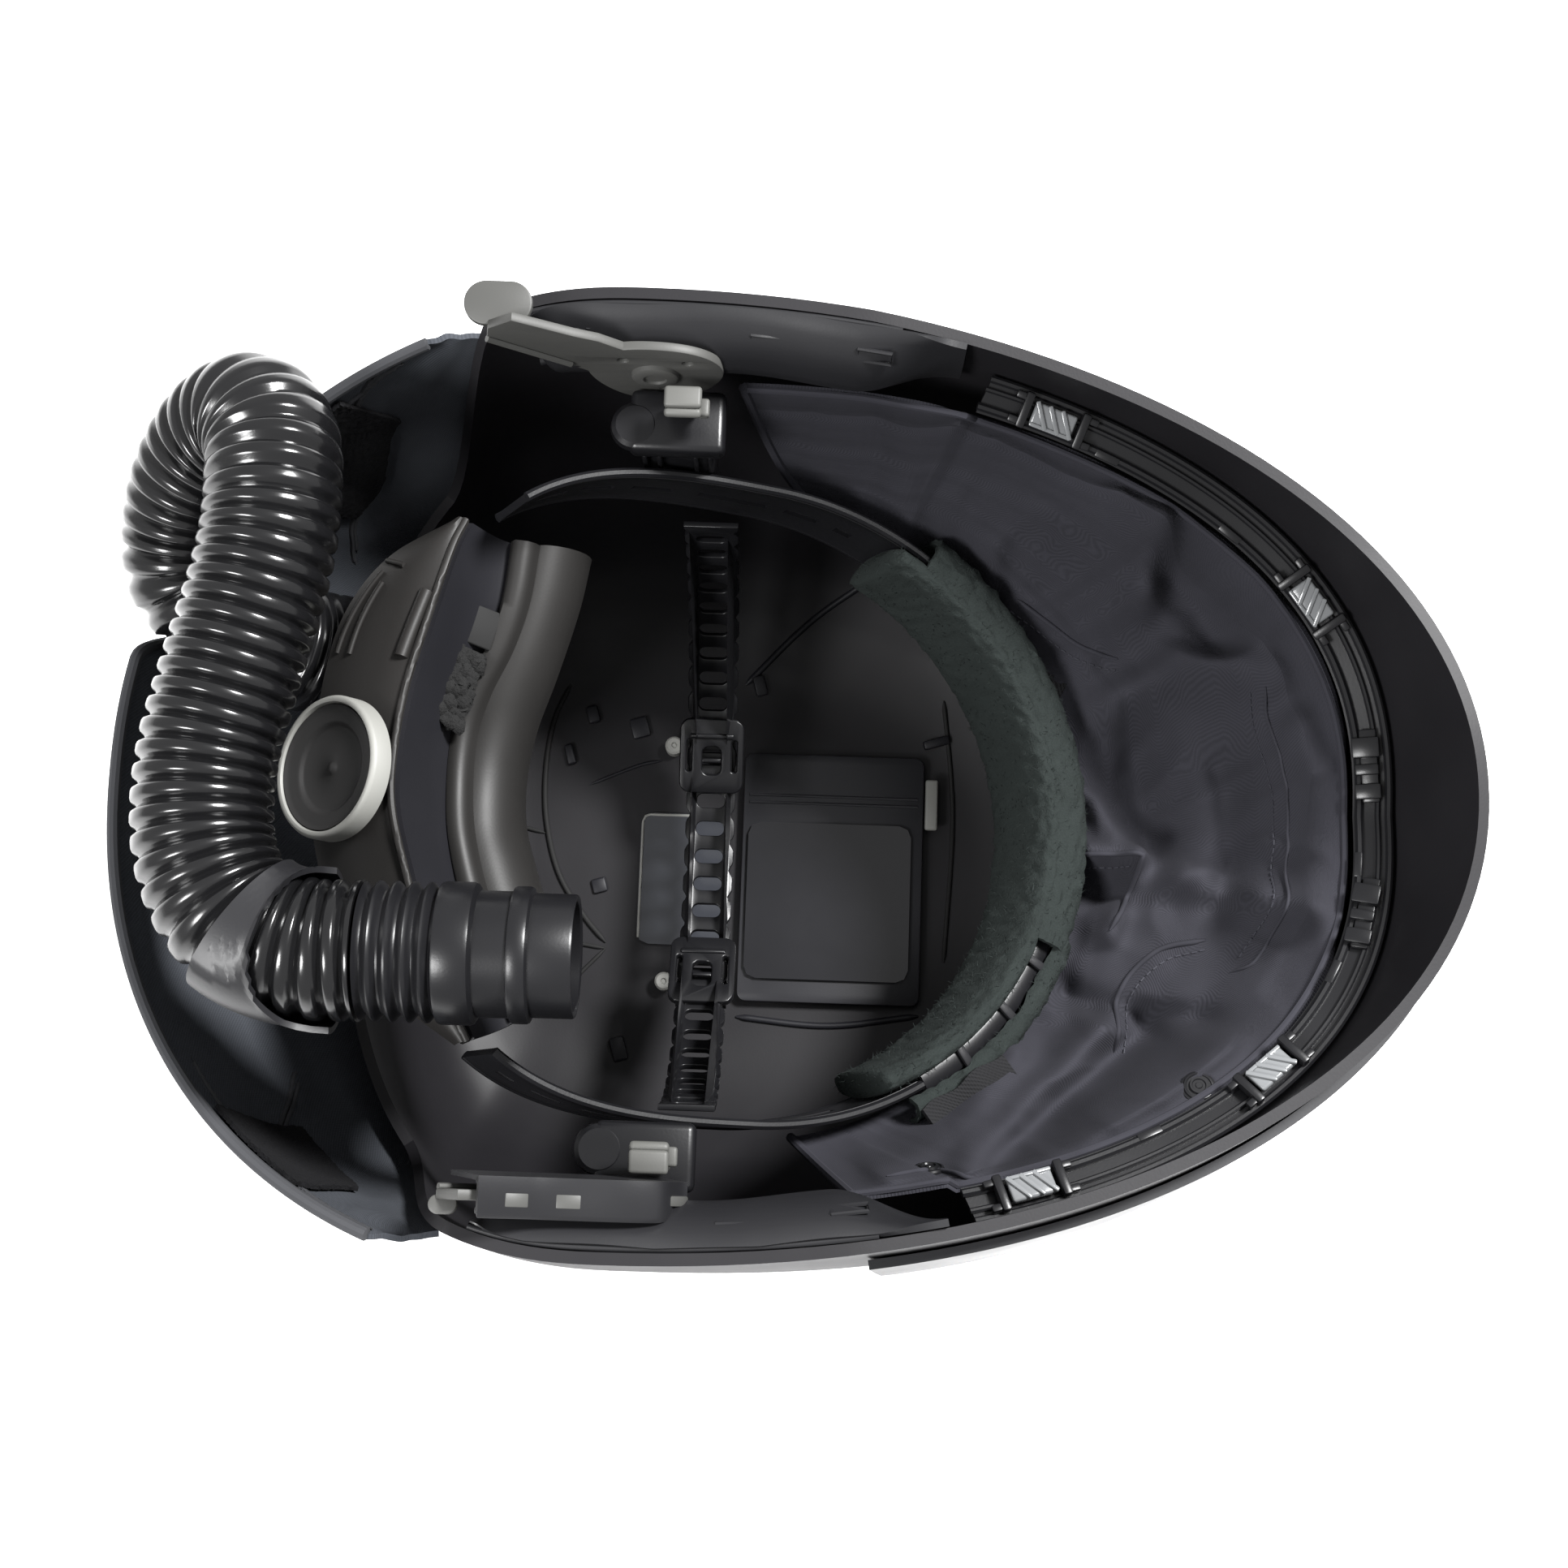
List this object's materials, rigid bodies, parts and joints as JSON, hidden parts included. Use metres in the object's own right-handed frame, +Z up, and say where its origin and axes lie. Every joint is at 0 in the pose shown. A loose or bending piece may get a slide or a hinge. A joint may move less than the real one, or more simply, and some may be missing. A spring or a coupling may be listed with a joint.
{
  "type": "powered respirator welding helmet",
  "caption": "Welding helmet with head harness, cloth face seal, neck cover and corrugated breathing hose, lying upside down on its crown with the neck opening up.",
  "frame": {"origin": "centre of the lowest face of the box round the helmet without its hose, on the surface that the crown rests on", "axes": "+Z up, away from the floor, towards the neck opening; +X towards the wearer's front; +Y towards the wearer's right"},
  "size_m": [0.3622, 0.2566, 0.209],
  "materials": {
    "shell_plastic": "matt near-black, finely textured",
    "panel_plastic": "satin dark grey",
    "frame_plastic": "moulded grey-black",
    "band_plastic": "satin black",
    "cradle_plastic": "matt warm grey-black",
    "pale_plastic": "light grey moulded",
    "lever_plastic": "mid grey moulded",
    "clip_plastic": "pale translucent",
    "label_face": "glossy black, bare",
    "label_silver": "silvery, bare",
    "lens_glass": "dark filter glass",
    "hose_plastic": "glossy black",
    "sweat_fleece": "grey-green fleece",
    "seal_cloth": "navy-grey twill",
    "cover_cloth": "dark blue-grey cloth",
    "hook_loop": "black hook and loop",
    "webbing": "black woven webbing",
    "foam": "dark open foam"
  },
  "bodies": {
    "root": {"band_clip_1": "band_plastic", "band_clip_2": "band_plastic", "band_clip_3": "band_plastic", "breathing_hose": "hose_plastic", "chin_latch_1": "band_plastic", "chin_latch_2": "band_plastic", "crown_buckle_left": "band_plastic", "crown_buckle_right": "band_plastic", "crown_strap_left": "band_plastic", "crown_strap_middle": "band_plastic", "crown_strap_right": "band_plastic", "face_seal": "seal_cloth", "filter_lens": "lens_glass", "front_label_plate": "label_face", "front_panel": "panel_plastic", "headband": "band_plastic", "helmet_shell": "shell_plastic", "hook_patch_left": "hook_loop", "hook_patch_right": "hook_loop", "hose_connector": "hose_plastic", "hose_cuff": "frame_plastic", "hose_gland": "band_plastic", "knob_ring": "pale_plastic", "lock_tab_left": "pale_plastic", "lock_tab_right": "pale_plastic", "nape_foam": "foam", "neck_cover": "cover_cloth", "pivot_bracket_left": "band_plastic", "pivot_bracket_right": "band_plastic", "pivot_plate_left": "lever_plastic", "pivot_plate_right": "lever_plastic", "rail_clip_1": "clip_plastic", "rail_clip_2": "clip_plastic", "rail_clip_3": "clip_plastic", "rail_clip_4": "clip_plastic", "ratchet_knob": "frame_plastic", "rear_cradle": "cradle_plastic", "rear_label_plate": "label_silver", "rear_pad": "cradle_plastic", "roof_panel": "frame_plastic", "roof_pin_1": "pale_plastic", "roof_pin_2": "pale_plastic", "seal_rail": "band_plastic", "seal_snap_1": "band_plastic", "seal_snap_2": "band_plastic", "side_frame_left": "frame_plastic", "side_frame_right": "frame_plastic", "sweatband": "sweat_fleece", "webbing_end_1": "webbing", "webbing_end_2": "webbing", "window_frame": "frame_plastic"}
  },
  "joints": []
}
